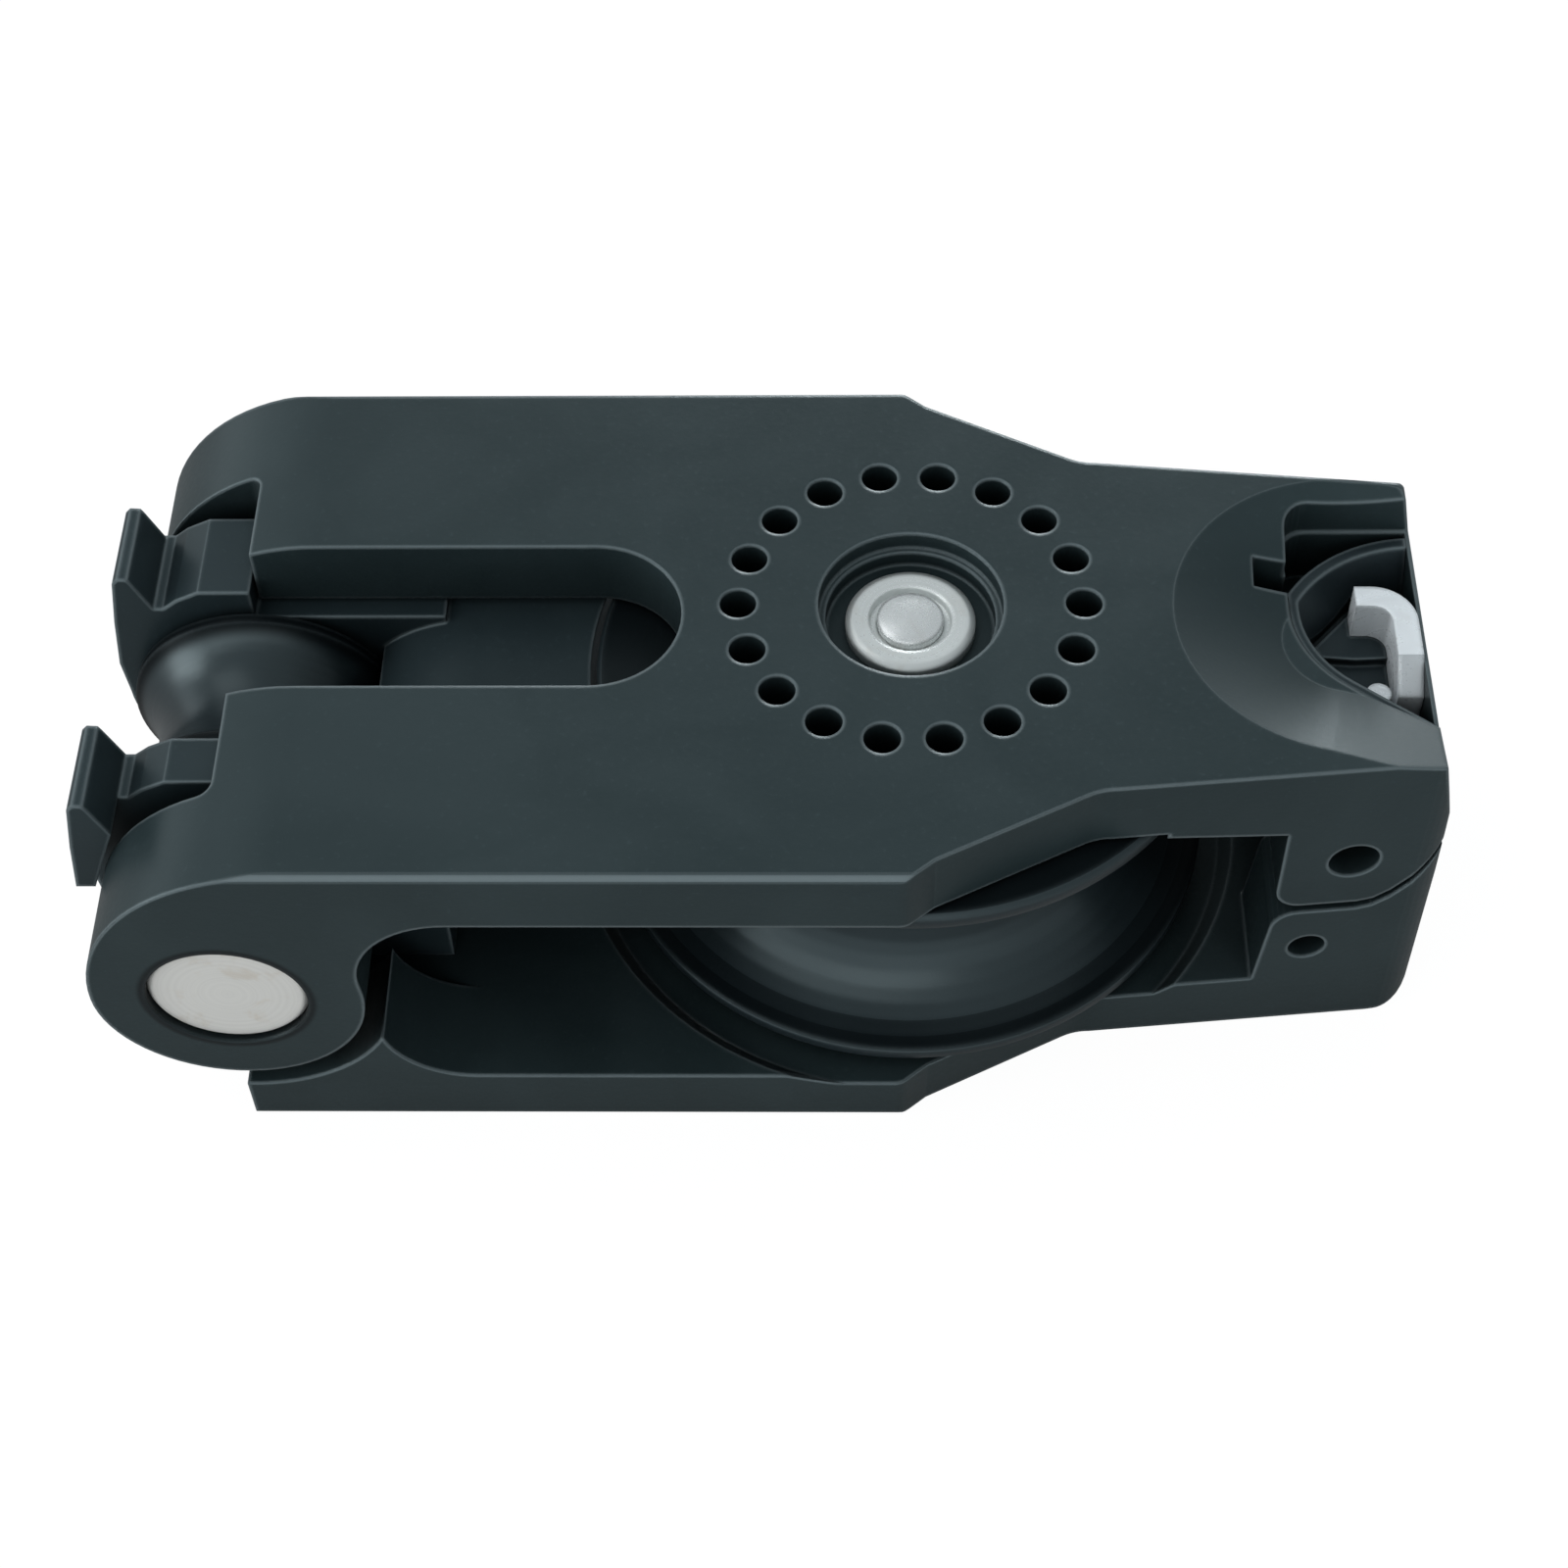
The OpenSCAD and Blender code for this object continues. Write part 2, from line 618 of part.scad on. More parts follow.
module axle_tube() {
  color([0.78, 0.79, 0.8])
  translate([0, axle_off, 0]) difference() {
    union() {
      translate([0, 0, head_sink]) cylinder(r = axle_r, h = block_h - 2*head_sink);
      translate([0, 0, block_h - head_sink - axle_head_t]) cylinder(d = axle_head_d, h = axle_head_t - 0.25);
      translate([0, 0, block_h - head_sink - 0.25])
        cylinder(d1 = axle_head_d, d2 = axle_head_d - 0.8, h = 0.25);
    }
    translate([0, 0, -1]) cylinder(r = core_r + seat_gap, h = block_h + 2);
    translate([0, 0, block_h - head_sink - 0.5]) cylinder(r = core_r + 0.5, h = 1);
  }
}

module axle_collar() {
  color([0.78, 0.79, 0.8])
  translate([0, axle_off, head_sink]) difference() {
    cylinder(d = axle_head_d, h = axle_head_t);
    translate([0, 0, -1]) cylinder(r = axle_r + seat_gap, h = axle_head_t + 2);
  }
}

module axle_core() {
  dome = 0.3;
  dome_r = (core_r*core_r + dome*dome)/(2*dome);
  span = asin(core_r/dome_r);
  low = head_sink - 0.05;
  top = block_h - low;
  color([0.72, 0.73, 0.75])
  translate([0, axle_off, 0]) rotate_extrude() polygon(concat(
    arc(0, low - dome + dome_r, dome_r, -90, span - 90, 5),
    arc(0, top + dome - dome_r, dome_r, 90 - span, 90, 5)));
}

module pivot_pin() {
  chamfer = 0.3;
  length = cheek_w - 2*pin_recess;
  color([0.8, 0.8, 0.8])
  translate([pin_x, length/2, pin_z]) rotate([90, 0, 0]) rotate_extrude() polygon([[0, 0],
    [pin_r - chamfer, 0], [pin_r, chamfer], [pin_r, length - chamfer], [pin_r - chamfer, length],
    [0, length]]);
}

module line_roller() {
  groove_half = roller_w/2 - roller_rim_t;
  depth = roller_r - roller_neck_r;
  groove_r = (groove_half*groove_half + depth*depth)/(2*depth);
  span = asin(groove_half/groove_r);
  bore_r = pin_r + running_gap + liner_t + seat_gap;
  color([0.11, 0.12, 0.13])
  translate([pin_x, roller_y, pin_z]) rotate([90, 0, 0]) rotate_extrude($fn = 96) polygon(concat(
    [[bore_r, -roller_w/2], [roller_r, -roller_w/2]],
    arc(roller_neck_r + groove_r, 0, groove_r, 180 + span, 180 - span, 16),
    [[roller_r, roller_w/2], [bore_r, roller_w/2]]));
}

module roller_liner() {
  color([0.9, 0.88, 0.8])
  translate([pin_x, roller_y + roller_w/2, pin_z]) rotate([90, 0, 0]) difference() {
    cylinder(r = pin_r + running_gap + liner_t, h = roller_w);
    translate([0, 0, -1]) cylinder(r = pin_r + running_gap, h = roller_w + 2);
  }
}

module thrust_washer(y) {
  color([0.85, 0.85, 0.8])
  translate([pin_x, y + washer_t/2, pin_z]) rotate([90, 0, 0]) difference() {
    cylinder(r = pin_r + washer_w, h = washer_t);
    translate([0, 0, -1]) cylinder(r = pin_r + seat_gap, h = washer_t + 2);
  }
}
module washer_near() { thrust_washer(roller_y - arm_in + washer_t/2); }
module washer_far() { thrust_washer(roller_y + arm_in - washer_t/2); }

// One arm of the guide, seen from the side
module arm_profile() {
  wall_x = -notch_reach - guide_gap/2;
  top = block_h - arm_drop;
  groove_x = ear_lean + ear_t + 1 - ear_out;
  difference() {
    translate([pin_x, pin_z]) circle(arm_r);
    translate([wall_x, top_z - guide_gap]) square(arm_r);
  }
  polygon([[wall_x, top], [wall_x, top_z - guide_gap], [saddle_x, top_z - guide_gap],
           [saddle_x, low_t], [pin_x, low_t], [pin_x - arm_r, pin_z], [-ear_out, ear_foot_z],
           [groove_x - ear_t, block_h - ear_groove], [groove_x + 0.5*ear_t, block_h - ear_groove],
           [groove_x + 1.3*ear_t, top - 0.5*(ear_groove - arm_drop)], [groove_x + 2.6*ear_t, top]]);
}

// An ear, seen from the side: it leans over the arm's end and stays clear of the lug's nose
module ear_profile() {
  tip_x = ear_lean - ear_out;
  tip_z = block_h - ear_drop;
  half = 0.5*(ear_foot_z + tip_z);
  function nose(z) = nose_x - sqrt(nose_r*nose_r - (z - pin_z)*(z - pin_z)) - guide_gap;
  low_mid = ear_foot_z + 0.37*ear_h;
  polygon([[-ear_out, ear_foot_z], [0.45*ear_lean - ear_out, half], [tip_x, tip_z - 0.4],
           [tip_x + 0.3*ear_t, tip_z], [tip_x + 0.85*ear_t, tip_z - 0.05], [tip_x + ear_t, tip_z - 0.4],
           [tip_x + ear_t + 1, block_h - ear_groove], [nose(low_mid), low_mid], [nose(ear_foot_z), ear_foot_z]]);
}

module line_guide() {
  right = -sheave_r + 6;
  color([0.12, 0.13, 0.14])
  difference() {
    union() {
      // Arms beside the roller, with an ear on each, and hubs up to the lugs
      for (s = [-1, 1]) {
        inner = s*roller_y + arm_in;
        outer = s*slot_off + arm_out;
        scale_y(s) {
          across(inner, outer) arm_profile();
          across(inner, inner + ear_w) ear_profile();
          cross_rod(pin_x, pin_z, hub_r, inner, lug_in - seat_gap);
        }
      }
      // The saddle between roller and sheave
      intersection() {
        across(slot_off - saddle_half_w, slot_off + saddle_half_w) difference() {
          polygon([[saddle_x - 6, low_t], [right, low_t], [right, saddle_z], [saddle_x - 6, saddle_z]]);
          translate([pin_x, pin_z]) circle(roller_r + guide_gap);
        }
        across(-half_w, half_w) union() {
          translate([saddle_x + 2, saddle_z - saddle_r]) circle(saddle_r);
          translate([saddle_x + 2, 0]) square([right - saddle_x, saddle_z]);
          translate([saddle_x - 6, 0]) square([right - saddle_x, saddle_z - saddle_r]);
        }
      }
    }
    cross_rod(pin_x, pin_z, pin_r + seat_gap, -half_w, half_w);
    translate([0, axle_off, -1]) cylinder(r = sheave_r + guide_gap, h = block_h + 2, $fn = 144);
    screw_holes(guide_screw_x, guide_screw_y, screw_sink + guide_screw_l + 1);
  }
}

module guide_screws() { screw_pair(guide_screw_x, guide_screw_y, guide_screw_l); }
module head_screws() { screw_pair(head_screw_x, head_screw_y, head_screw_l); }

// The clip's bent strip from above, grown by a gap
module clip_outline(gap) {
  out = clip_bend_r + clip_t;
  corner = [inner_x - out, clip_far - out];
  difference() {
    union() {
      translate([inner_x - clip_t - gap, clip_far - clip_l - gap])
        square([clip_t + gap, clip_l - out + gap]);
      translate([inner_x - clip_foot - gap, clip_far - clip_t - gap])
        square([clip_foot - out + gap, clip_t + 2*gap]);
      intersection() {
        translate(corner) circle(out + gap);
        translate(corner) square(out + gap);
      }
    }
    translate(corner) circle(clip_bend_r - gap);
  }
}

module head_clip() {
  near = clip_far - clip_l;
  top = block_h - clip_drop;
  color([0.82, 0.82, 0.83])
  intersection() {
    translate([-seat_gap, 0, clip_low]) linear_extrude(clip_h) clip_outline(0);
    // The near end's top corner is cut off at a slant
    rotate([90, 0, 90]) linear_extrude(head_reach) polygon([[near - 1, 0], [clip_far + 1, 0],
      [clip_far + 1, block_h], [near + clip_cut, top + small],
      [near, top - 0.8*clip_cut], [near - 1, top - 0.8*clip_cut]]);
  }
}

// The cup that is hollowed out of the insert, with its slanted wall
module bowl() {
  wall = bowl_r - 0.5*bowl_depth;
  steep = 0.5*(bowl_depth + 1);
  intersection() {
    translate([inner_x + 0.6, dish_off - 1.2, ledge_z - bowl_depth])
      cylinder(r1 = wall, r2 = wall + steep, h = bowl_depth + 1, $fn = 144);
    translate([0, 0, bed_z]) linear_extrude(insert_t + 1)
      throat(inner_x + 1, rim_step + 0.6, throat_low_r - 0.6);
  }
}

module head_insert() {
  floor_z = ledge_z - bowl_depth;
  tongue_z = floor_z + 0.6;
  left = throat_x + key_w;
  right = inner_x - 0.3;
  near = dish_off + 1;
  color([0.11, 0.11, 0.12])
  difference() {
    translate([0, 0, bed_z]) linear_extrude(insert_t) intersection() {
      throat(inner_x - seat_gap, rim_step + seat_gap, throat_low_r);
      translate([inner_x + 0.6, dish_off - 1.2]) circle(bowl_r + bowl_rim, $fn = 144);
    }
    difference() {
      bowl();
      // The tongue left standing in the bowl
      translate([0, 0, bed_z]) linear_extrude(tongue_z - bed_z)
        polygon([[left, near + 1], [left + 3.2, near + 4.6], [right, near + 4.6], [right, near + 0.2],
                 [left + 2.5, near], [left + 0.3, near + 0.2]]);
    }
    // The slit beside the tongue
    translate([0, 0, floor_z - 0.4]) linear_extrude(bowl_depth)
      polygon([[left, near + 1], [left + 3.2, near + 4.6], [left + 2.7, near + 5], [left - 0.5, near + 1.4]]);
    translate([-seat_gap, 0, clip_low]) linear_extrude(insert_t + 1) clip_outline(seat_gap);
    translate([clip_pin_x, clip_pin_y, clip_low]) cylinder(r = clip_pin_r, h = insert_t, $fn = 32);
  }
}

module clip_pin() {
  color([0.8, 0.8, 0.8])
  translate([clip_pin_x, clip_pin_y, clip_low])
    cylinder(r = clip_pin_r - seat_gap, h = 0.5*bowl_depth, $fn = 32);
}

translate([axle_x, shift_y, 0]) {
  upper_cheek();
  lower_cheek();
  main_sheave();
  keeper_upper();
  keeper_lower();
  sheave_hub();
  balls_upper();
  balls_lower();
  axle_tube();
  axle_collar();
  axle_core();
  pivot_pin();
  line_roller();
  roller_liner();
  washer_near();
  washer_far();
  line_guide();
  guide_screws();
  head_insert();
  head_clip();
  clip_pin();
  head_screws();
}
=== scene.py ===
import bpy, math
from mathutils import Matrix, Vector


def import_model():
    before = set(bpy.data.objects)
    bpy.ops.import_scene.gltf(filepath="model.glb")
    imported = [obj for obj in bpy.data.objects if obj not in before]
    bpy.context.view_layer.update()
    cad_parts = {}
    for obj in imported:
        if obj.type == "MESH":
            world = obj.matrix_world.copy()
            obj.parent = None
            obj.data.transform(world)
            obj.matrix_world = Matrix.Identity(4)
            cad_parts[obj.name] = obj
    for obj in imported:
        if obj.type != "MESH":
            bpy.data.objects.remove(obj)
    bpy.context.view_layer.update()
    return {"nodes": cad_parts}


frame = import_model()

MM = 0.001
nodes = frame["nodes"]

# Places that several pieces share, in metres
AXLE = Vector((0.00935, 0.0005, 0.013375))
PIN = Vector((-0.03305, -0.0019, 0.014))
MID_Y = -0.0008


# ---- Node helpers -------------------------------------------------------

class Mat:
    """A material with short calls for its nodes."""

    def __init__(self, name, edge=0.0004):
        self.m = bpy.data.materials.new(name)
        self.m.use_nodes = True
        self.t = self.m.node_tree
        self.b = self.t.nodes["Principled BSDF"]
        self.obj = self.n("ShaderNodeTexCoord").outputs["Object"]
        soft = self.n("ShaderNodeBevel", samples=6)
        soft.inputs["Radius"].default_value = edge
        self.soft = soft.outputs["Normal"]
        near = self.n("ShaderNodeAmbientOcclusion", samples=4)
        near.inputs["Distance"].default_value = 0.02
        self.open = near.outputs["AO"]

    def n(self, kind, **props):
        node = self.t.nodes.new(kind)
        for k, v in props.items():
            setattr(node, k, v)
        return node

    def put(self, value, socket):
        if isinstance(value, bpy.types.NodeSocket):
            self.t.links.new(value, socket)
        else:
            socket.default_value = value

    def math(self, op, a, b=0.0, c=0.0, clamp=False):
        node = self.n("ShaderNodeMath", operation=op, use_clamp=clamp)
        for v, s in zip((a, b, c), node.inputs):
            self.put(v, s)
        return node.outputs[0]

    def noise(self, scale, detail=3.0, rough=0.5, vec=None, distort=0.0):
        node = self.n("ShaderNodeTexNoise")
        self.put(vec or self.obj, node.inputs["Vector"])
        node.inputs["Scale"].default_value = scale
        node.inputs["Detail"].default_value = detail
        node.inputs["Roughness"].default_value = rough
        node.inputs["Distortion"].default_value = distort
        return node.outputs["Fac"]

    def remap(self, x, lo, hi, to_lo, to_hi, smooth=False):
        node = self.n("ShaderNodeMapRange", clamp=True)
        if smooth:
            node.interpolation_type = "SMOOTHSTEP"
        for v, s in zip((x, lo, hi, to_lo, to_hi), node.inputs):
            self.put(v, s)
        return node.outputs[0]

    def mix(self, fac, a, b, mode="MIX"):
        node = self.n("ShaderNodeMix", data_type="RGBA", blend_type=mode)
        self.put(fac, node.inputs[0])
        self.put(a, node.inputs[6])
        self.put(b, node.inputs[7])
        return node.outputs[2]

    def radius(self, centre, keep):
        """Distance from an axis through centre; keep masks out the axis' own direction."""
        sub = self.n("ShaderNodeVectorMath", operation="SUBTRACT")
        self.put(self.obj, sub.inputs[0])
        sub.inputs[1].default_value = centre
        mul = self.n("ShaderNodeVectorMath", operation="MULTIPLY")
        self.put(sub.outputs[0], mul.inputs[0])
        mul.inputs[1].default_value = keep
        length = self.n("ShaderNodeVectorMath", operation="LENGTH")
        self.put(mul.outputs[0], length.inputs[0])
        return length.outputs["Value"]

    def axis(self, name):
        sep = self.n("ShaderNodeSeparateXYZ")
        self.put(self.obj, sep.inputs[0])
        return sep.outputs[name]

    def bump(self, *layers):
        """Layers are (height, strength, distance in metres), from the coarse to the fine."""
        normal = self.soft
        for height, strength, distance in layers:
            node = self.n("ShaderNodeBump")
            self.put(height, node.inputs["Height"])
            node.inputs["Strength"].default_value = strength
            node.inputs["Distance"].default_value = distance
            self.put(normal, node.inputs["Normal"])
            normal = node.outputs["Normal"]
        self.put(normal, self.b.inputs["Normal"])

    def shade(self, colour, shine, deep):
        """Painted shade: colour and shine, both dimmed by ambient occlusion to the share deep in narrow gaps and
        pockets.
        """
        fac = self.remap(self.open, 0.1, 0.45, deep, 1.0, True)
        self.put(self.mix(fac, (0.0, 0.0, 0.0, 1.0), colour), self.b.inputs["Base Color"])
        self.put(self.math("MULTIPLY", fac, shine), self.b.inputs["Specular IOR Level"])

    def long_edges(self):
        """1 on the rounded long edges of the cheeks, which lie in the outermost half millimetre."""
        geo = self.n("ShaderNodeNewGeometry")
        sep = self.n("ShaderNodeSeparateXYZ")
        self.put(geo.outputs["Normal"], sep.inputs[0])
        tilt = self.math("ABSOLUTE", self.math("MULTIPLY", sep.outputs["Y"], sep.outputs["Z"]))
        out = self.math("ABSOLUTE", self.math("SUBTRACT", self.axis("Y"), MID_Y))
        return self.math("MULTIPLY", self.remap(tilt, 0.08, 0.5, 0.0, 1.0), self.remap(out, 0.0190, 0.0192, 0.0, 1.0))

    def edges(self, lo=0.006, hi=0.05):
        """1 on the outer edges: where the softened normal turns away, and not in a corner."""
        geo = self.n("ShaderNodeNewGeometry")
        dot = self.n("ShaderNodeVectorMath", operation="DOT_PRODUCT")
        self.put(self.soft, dot.inputs[0])
        self.put(geo.outputs["Normal"], dot.inputs[1])
        turn = self.math("SUBTRACT", 1.0, dot.outputs["Value"])
        return self.math("MULTIPLY", self.remap(turn, lo, hi, 0.0, 1.0), self.remap(self.open, 0.15, 0.35, 0.0, 1.0))


Z_AXIS, Y_AXIS = (1, 1, 0), (1, 0, 1)
PIN_SHADOW_R, ROLLER_END_SHADE = 0.0053, 0.0043


def moulded(name, dark, light, rough=0.40, grain=0.25, edge_highlight=0.9, shine=0.4, deep=0.15,
            pin_shadow_r=None):
    """Glass-filled plastic from the mould: fine grain, faint flow marks, and a painted highlight on the edges."""
    m = Mat(name)
    flow = m.noise(90.0, 4.0, 0.55, distort=0.6)
    speck = m.noise(2600.0, 2.0, 0.6)
    fibre = m.noise(900.0, 5.0, 0.7)
    base = m.mix(m.remap(flow, 0.3, 0.7, 0.0, 1.0, True), dark, light)
    base = m.mix(m.remap(speck, 0.62, 0.75, 0.0, 0.25), base, [c * 1.9 for c in light[:3]] + [1.0])
    # Painted highlight: the outer edges and the rounded long edges are mixed towards a pale colour
    pale = m.math("MULTIPLY", m.math("MAXIMUM", m.edges(), m.long_edges()), edge_highlight)
    base = m.mix(pale, base, (0.150, 0.180, 0.190, 1.0))
    # Painted shadow: a near-black ring on the lug face round the pivot pin's hole
    if pin_shadow_r:
        pin_shadow = m.remap(m.radius(tuple(PIN), Y_AXIS), pin_shadow_r, pin_shadow_r + 0.0004, 0.9, 0.0, True)
        base = m.mix(pin_shadow, base, (0.001, 0.002, 0.003, 1.0))
    m.shade(base, shine, deep)
    r = m.math("ADD", m.remap(flow, 0.3, 0.7, rough - 0.03, rough + 0.03), m.remap(speck, 0.3, 0.7, -0.03, 0.03))
    m.put(r, m.b.inputs["Roughness"])
    m.bump((flow, 0.12, 0.0002), (fibre, grain * 0.5, 0.00006), (speck, grain, 0.00003))
    m.b.inputs["Specular Tint"].default_value = (0.74, 0.95, 1.0, 1)
    return m.m


def turned(name, dark, light, centre, keep, along, rough=0.26, pitch=9000.0, flat_top_shade=1.0, shine=0.65, end_shade_at=None):
    """Smooth turned or moulded wheel: fine rings round its axis, painted shade on its upward flat faces and near its
    ends, and a painted highlight on its outer edges.
    """
    m = Mat(name, 0.0007)
    r = m.radius(centre, keep)
    ring = m.n("ShaderNodeTexNoise", noise_dimensions="2D")
    comb = m.n("ShaderNodeCombineXYZ")
    m.put(r, comb.inputs[0])
    m.put(m.axis(along), comb.inputs[1])
    m.put(comb.outputs[0], ring.inputs["Vector"])
    ring.inputs["Scale"].default_value = pitch
    ring.inputs["Detail"].default_value = 2.0
    soft = m.noise(160.0, 3.0, 0.5)
    base = m.mix(m.remap(soft, 0.3, 0.7, 0.0, 1.0), dark, light)
    # Painted shade: upward-facing flat faces are darkened towards near-black, and their shine with them
    geo = m.n("ShaderNodeNewGeometry")
    sep = m.n("ShaderNodeSeparateXYZ")
    m.put(geo.outputs["Normal"], sep.inputs[0])
    unshaded_share = m.remap(sep.outputs["Z"], 0.9, 0.98, 1.0, flat_top_shade)
    # Painted shade: a dark ring near each end of the wheel along its axis
    if end_shade_at:
        out = m.math("ABSOLUTE", m.math("SUBTRACT", m.axis(along), centre[1]))
        unshaded_share = m.math("MULTIPLY", unshaded_share, m.remap(out, end_shade_at - 0.0008, end_shade_at, 1.0, 0.15, True))
    base = m.mix(unshaded_share, (0.001, 0.0015, 0.002, 1.0), base)
    # Painted highlight: a pale line on the outer edges
    base = m.mix(m.math("MULTIPLY", m.edges(0.04, 0.2), 0.6), base, (0.060, 0.076, 0.082, 1.0))
    m.shade(base, m.math("MULTIPLY", unshaded_share, shine), 0.08)
    rr = m.math("ADD", m.remap(soft, 0.3, 0.7, rough - 0.03, rough + 0.04),
                m.remap(ring.outputs["Fac"], 0.3, 0.7, -0.01, 0.01))
    m.put(rr, m.b.inputs["Roughness"])
    m.bump((soft, 0.08, 0.0002), (ring.outputs["Fac"], 0.03, 0.00002))
    m.b.inputs["Specular Tint"].default_value = (0.78, 0.96, 1.0, 1)
    return m.m


def steel(name, colour, tint, centre, keep, rough=0.24, rings=5200.0, brushed=True, metal=1.0,
          near_side_shade=0.0):
    """Turned stainless: rings round the axis, fine scratches and a little staining."""
    m = Mat(name)
    r = m.radius(centre, keep)
    wave = m.n("ShaderNodeTexNoise", noise_dimensions="1D")
    m.put(r, wave.inputs["W"])
    wave.inputs["Scale"].default_value = rings
    wave.inputs["Detail"].default_value = 3.0
    stain = m.noise(420.0, 4.0, 0.6, distort=0.4)
    scratch = m.noise(3000.0, 3.0, 0.7)
    base = m.mix(m.remap(stain, 0.52, 0.72, 0.0, 0.55, True), colour, tint)
    base = m.mix(m.remap(wave.outputs["Fac"], 0.35, 0.65, 0.0, 0.12), base, [c * 0.6 for c in colour[:3]] + [1.0])
    # Painted shade: faces turned towards the near side are mixed towards a dark grey
    if near_side_shade:
        geo = m.n("ShaderNodeNewGeometry")
        sep = m.n("ShaderNodeSeparateXYZ")
        m.put(geo.outputs["Normal"], sep.inputs[0])
        base = m.mix(m.remap(sep.outputs["Y"], -0.5, -0.2, near_side_shade, 0.0), base, (0.10, 0.12, 0.13, 1.0))
    m.put(base, m.b.inputs["Base Color"])
    m.b.inputs["Metallic"].default_value = metal
    rr = m.math("ADD", m.remap(wave.outputs["Fac"], 0.3, 0.7, rough - 0.05, rough + 0.06),
                m.remap(scratch, 0.4, 0.7, 0.0, 0.06))
    m.put(rr, m.b.inputs["Roughness"])
    m.bump((wave.outputs["Fac"], 0.12 if brushed else 0.04, 0.00002), (scratch, 0.06, 0.00001))
    return m.m


def plain_plastic(name, colour, other, rough):
    """Pale moulded plastic of the inner pieces: faint mottling and a fine grain."""
    m = Mat(name)
    soft = m.noise(300.0, 3.0, 0.5)
    fine = m.noise(2400.0, 2.0, 0.6)
    m.put(m.mix(m.remap(soft, 0.3, 0.7, 0.0, 1.0), colour, other), m.b.inputs["Base Color"])
    m.put(m.remap(soft, 0.3, 0.7, rough, rough + 0.08), m.b.inputs["Roughness"])
    m.bump((soft, 0.05, 0.0001), (fine, 0.12, 0.00001))
    return m.m


cheek = moulded("cheek_plastic", (0.0165, 0.0265, 0.0290, 1), (0.0215, 0.0330, 0.0360, 1), 0.38, 0.22,
                pin_shadow_r=PIN_SHADOW_R)
guide_m = moulded("guide_plastic", (0.0160, 0.0250, 0.0290, 1), (0.0200, 0.0310, 0.0350, 1), 0.38, 0.16, deep=0.5)
insert_m = moulded("insert_plastic", (0.0120, 0.0180, 0.0215, 1), (0.0170, 0.0240, 0.0280, 1), 0.34, 0.14)
sheave_m = turned("sheave_plastic", (0.0105, 0.0160, 0.0190, 1), (0.0130, 0.0195, 0.0230, 1),
                  tuple(AXLE), Z_AXIS, "Z", 0.34, flat_top_shade=0.4)
roller_m = turned("roller_plastic", (0.0110, 0.0165, 0.0195, 1), (0.0140, 0.0205, 0.0240, 1),
                  tuple(PIN), Y_AXIS, "Y", 0.31, shine=0.62, end_shade_at=ROLLER_END_SHADE)
pin_m = steel("pin_steel", (0.87, 0.85, 0.81, 1), (0.70, 0.62, 0.52, 1), tuple(PIN), Y_AXIS, 0.38, 4200.0, True, 0.45)
axle_m = steel("axle_metal", (0.84, 0.87, 0.86, 1), (0.74, 0.73, 0.69, 1), tuple(AXLE), Z_AXIS, 0.30, 5200.0, True, 0.65)
core_m = steel("core_steel", (0.82, 0.84, 0.84, 1), (0.72, 0.71, 0.68, 1), tuple(AXLE), Z_AXIS, 0.26, 3000.0, True, 0.75)
clip_m = steel("clip_steel", (0.93, 0.97, 1.0, 1), (0.86, 0.88, 0.89, 1), (0.04, 0.0, 0.02), (1, 1, 1), 0.28,
               2600.0, False, 0.25, 0.45)
screw_m = steel("screw_steel", (0.66, 0.67, 0.67, 1), (0.55, 0.52, 0.47, 1), (0.0, 0.0, 0.0), (1, 1, 1), 0.28,
                2600.0, False)
ball_m = plain_plastic("ball_plastic", (0.80, 0.79, 0.74, 1), (0.74, 0.72, 0.66, 1), 0.16)
liner_m = plain_plastic("liner_plastic", (0.72, 0.67, 0.56, 1), (0.66, 0.61, 0.50, 1), 0.30)

finish = {"upper_cheek": cheek, "lower_cheek": cheek, "line_guide": guide_m, "head_insert": insert_m,
          "main_sheave": sheave_m, "keeper_upper": sheave_m, "keeper_lower": sheave_m, "line_roller": roller_m,
          "pivot_pin": pin_m, "axle_tube": axle_m, "axle_collar": axle_m, "axle_core": core_m,
          "head_clip": clip_m, "clip_pin": clip_m, "guide_screws": screw_m, "head_screws": screw_m,
          "balls_upper": ball_m, "balls_lower": ball_m, "sheave_hub": ball_m, "roller_liner": liner_m,
          "washer_near": liner_m, "washer_far": liner_m}

for name, obj in nodes.items():
    for slot in obj.material_slots:
        slot.material = finish[name]


# ---- Floor, light and camera --------------------------------------------

FLOOR_SHINE, HORIZON, SKY = 0.22, 1.1, 0.53


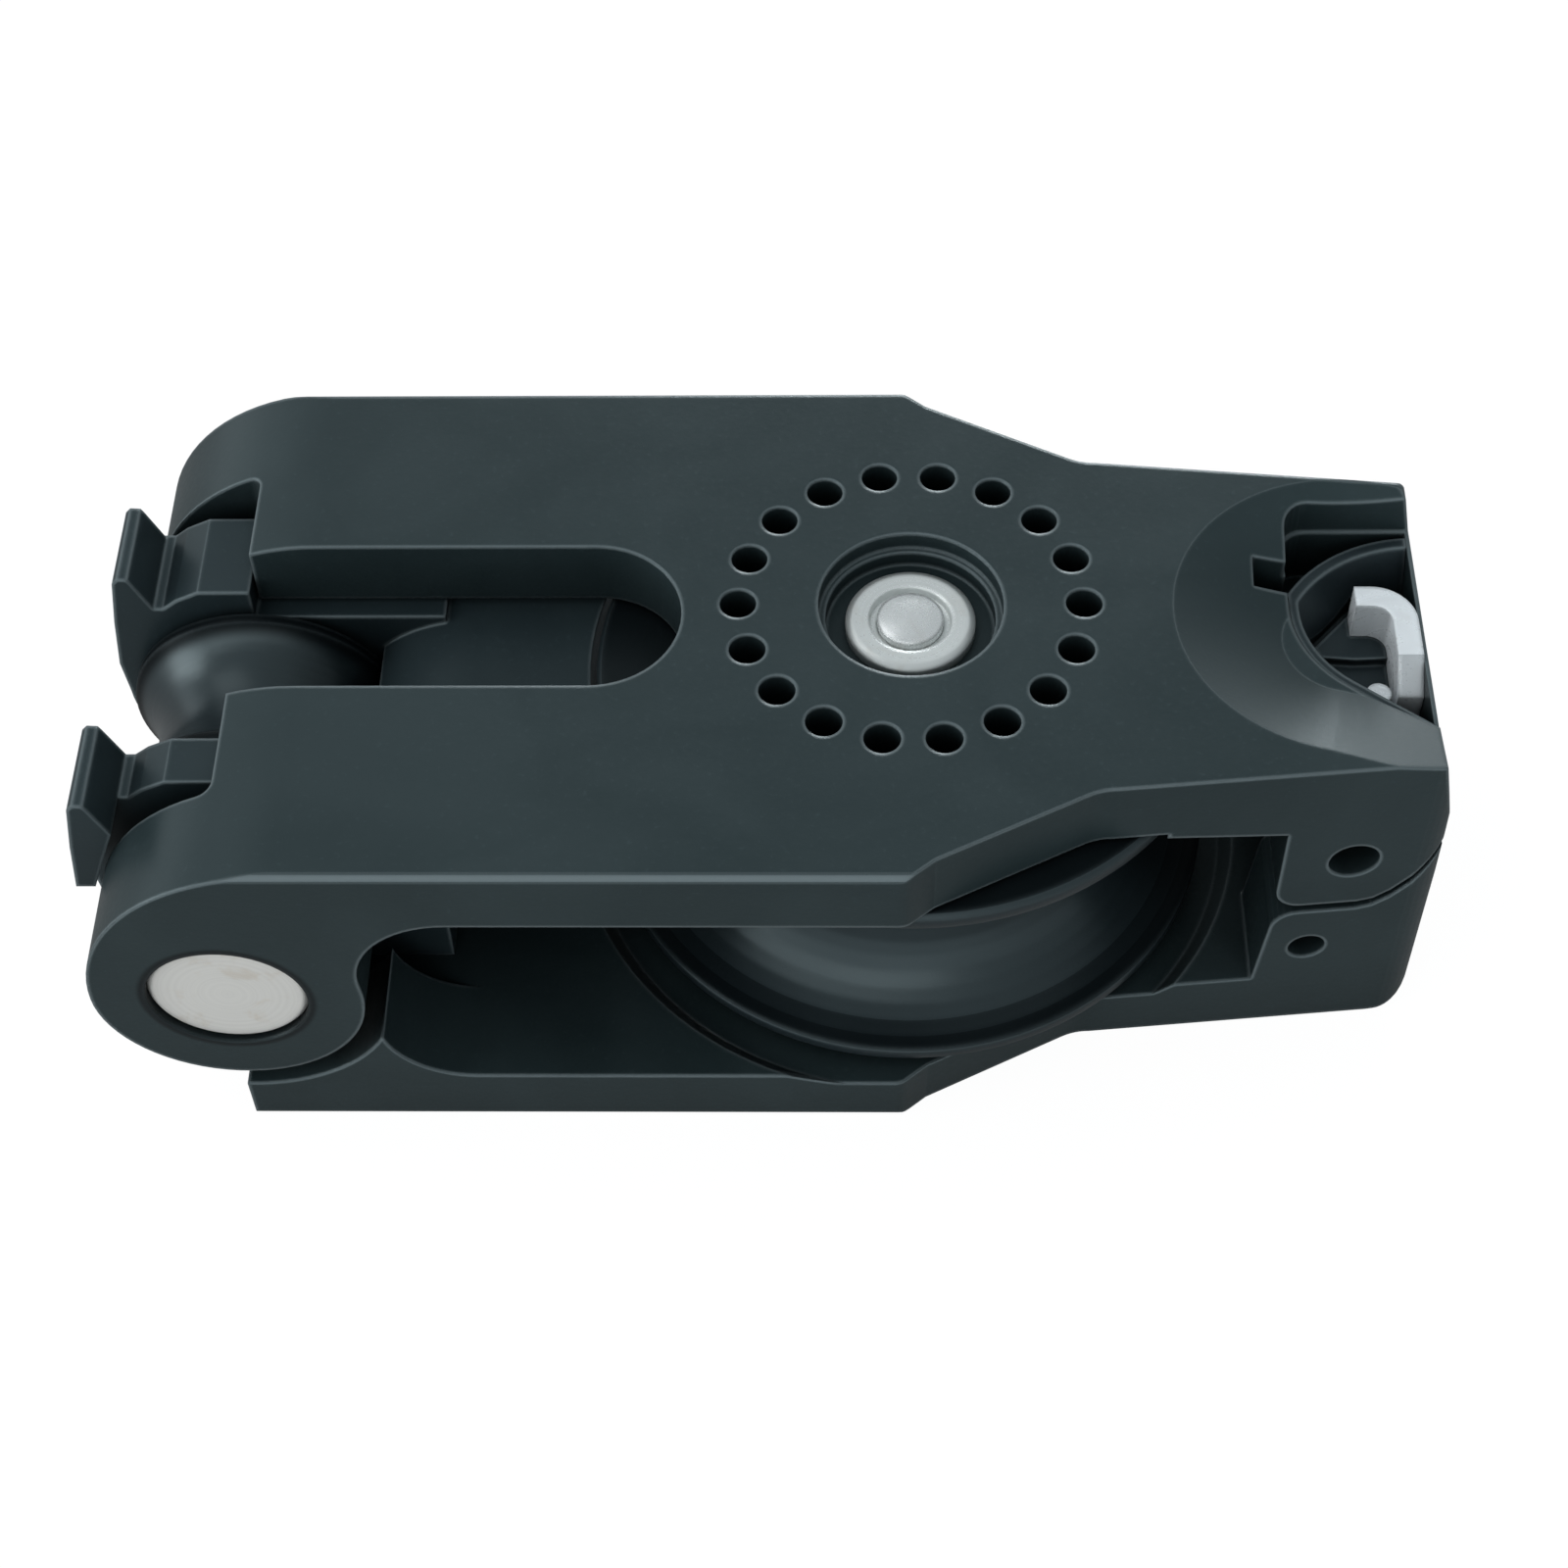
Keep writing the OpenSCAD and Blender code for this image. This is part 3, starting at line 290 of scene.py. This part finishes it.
def floor():
    """White floor: lit by the lamps, plain white to the camera, and dimmer in reflections."""
    mesh = bpy.data.meshes.new("floor")
    s = 3.0
    mesh.from_pydata([(-s, -s, 0), (s, -s, 0), (s, s, 0), (-s, s, 0)], [], [(0, 1, 2, 3)])
    obj = bpy.data.objects.new("floor", mesh)
    bpy.context.scene.collection.objects.link(obj)
    mat = bpy.data.materials.new("floor")
    mat.use_nodes = True
    t = mat.node_tree

    def calc(op, x, y):
        node = t.nodes.new("ShaderNodeMath")
        node.operation = op
        for v, socket in zip((x, y), node.inputs):
            if isinstance(v, bpy.types.NodeSocket):
                t.links.new(v, socket)
            else:
                socket.default_value = v
        return node.outputs[0]

    b = t.nodes["Principled BSDF"]
    b.inputs["Base Color"].default_value = (0.86, 0.86, 0.86, 1)
    b.inputs["Roughness"].default_value = 0.9
    b.inputs["Specular IOR Level"].default_value = 0.1
    path = t.nodes.new("ShaderNodeLightPath")
    camera, glossy = path.outputs["Is Camera Ray"], path.outputs["Is Glossy Ray"]
    glow = t.nodes.new("ShaderNodeEmission")
    t.links.new(calc("ADD", calc("MULTIPLY", camera, 1.06), calc("MULTIPLY", glossy, FLOOR_SHINE)), glow.inputs["Strength"])
    mix = t.nodes.new("ShaderNodeMixShader")
    t.links.new(calc("MULTIPLY", calc("MAXIMUM", camera, glossy), 0.9), mix.inputs[0])
    t.links.new(b.outputs[0], mix.inputs[1])
    t.links.new(glow.outputs[0], mix.inputs[2])
    t.links.new(mix.outputs[0], t.nodes["Material Output"].inputs["Surface"])
    mesh.materials.append(mat)


def world():
    """Bright near the horizon and dimmer above; plain white to the camera."""
    w = bpy.data.worlds.new("studio")
    bpy.context.scene.world = w
    w.use_nodes = True
    t = w.node_tree
    bg = t.nodes["Background"]
    bg.inputs["Color"].default_value = (0.90, 0.97, 1.0, 1)
    sep = t.nodes.new("ShaderNodeSeparateXYZ")
    t.links.new(t.nodes.new("ShaderNodeTexCoord").outputs["Generated"], sep.inputs[0])
    ramp = t.nodes.new("ShaderNodeMapRange")
    ramp.interpolation_type = "SMOOTHSTEP"
    for socket, v in zip(ramp.inputs[1:5], (0.2, 0.5, HORIZON, SKY)):
        socket.default_value = v
    t.links.new(sep.outputs["Z"], ramp.inputs[0])
    side = t.nodes.new("ShaderNodeMapRange")
    for socket, v in zip(side.inputs[1:5], (0.4, 0.9, 1.0, 0.5)):
        socket.default_value = v
    t.links.new(sep.outputs["X"], side.inputs[0])
    both = t.nodes.new("ShaderNodeMath")
    both.operation = "MULTIPLY"
    t.links.new(ramp.outputs[0], both.inputs[0])
    t.links.new(side.outputs[0], both.inputs[1])
    t.links.new(both.outputs[0], bg.inputs["Strength"])
    white = t.nodes.new("ShaderNodeBackground")
    path = t.nodes.new("ShaderNodeLightPath")
    mix = t.nodes.new("ShaderNodeMixShader")
    t.links.new(path.outputs["Is Camera Ray"], mix.inputs[0])
    t.links.new(bg.outputs[0], mix.inputs[1])
    t.links.new(white.outputs[0], mix.inputs[2])
    t.links.new(mix.outputs[0], t.nodes["World Output"].inputs["Surface"])


def lamp(name, at, wide, high, power, colour=(1, 1, 1)):
    data = bpy.data.lights.new(name, "AREA")
    data.shape = "RECTANGLE"
    data.size = wide
    data.size_y = high
    data.energy = power
    data.color = colour
    obj = bpy.data.objects.new(name, data)
    bpy.context.scene.collection.objects.link(obj)
    at = Vector(at)
    obj.location = at
    obj.rotation_euler = (Vector((0, 0, 0.01)) - at).to_track_quat("-Z", "Y").to_euler()


floor()
world()
lamp("key", (-0.45, 0.25, 0.75), 0.5, 0.5, 0.6)
lamp("back", (0.1, 0.9, 0.15), 0.3, 0.3, 3.4, (0.95, 0.98, 1.0))
lamp("front", (-0.3, -0.75, 0.65), 1.2, 0.4, 2.4, (0.97, 0.99, 1.0))
lamp("left", (-0.9, -0.2, 0.3), 0.5, 0.5, 2.9, (0.97, 0.99, 1.0))


def camera():
    """The photograph's camera, as fitted to its outline: 1600 x 1600, 36 mm sensor."""
    az, el, roll = math.radians(1.96), math.radians(53.16), math.radians(-1.59)
    back = Vector((math.sin(az) * math.cos(el), -math.cos(az) * math.cos(el), math.sin(el)))
    right = Vector((math.cos(az), math.sin(az), 0))
    up = back.cross(right)
    right2 = math.cos(roll) * right + math.sin(roll) * up
    up2 = -math.sin(roll) * right + math.cos(roll) * up
    cam = bpy.data.cameras.new("camera")
    cam.lens = 65.65
    cam.sensor_width = 36
    cam.clip_start = 0.005
    obj = bpy.data.objects.new("camera", cam)
    bpy.context.scene.collection.objects.link(obj)
    m = Matrix.Identity(4)
    for i, v in enumerate((right2, up2, back)):
        m[0][i], m[1][i], m[2][i] = v
    m.translation = Vector((0.00509, -0.11554, 0.16317))
    obj.matrix_world = m
    bpy.context.scene.camera = obj


camera()
bpy.context.scene.view_settings.view_transform = "Standard"
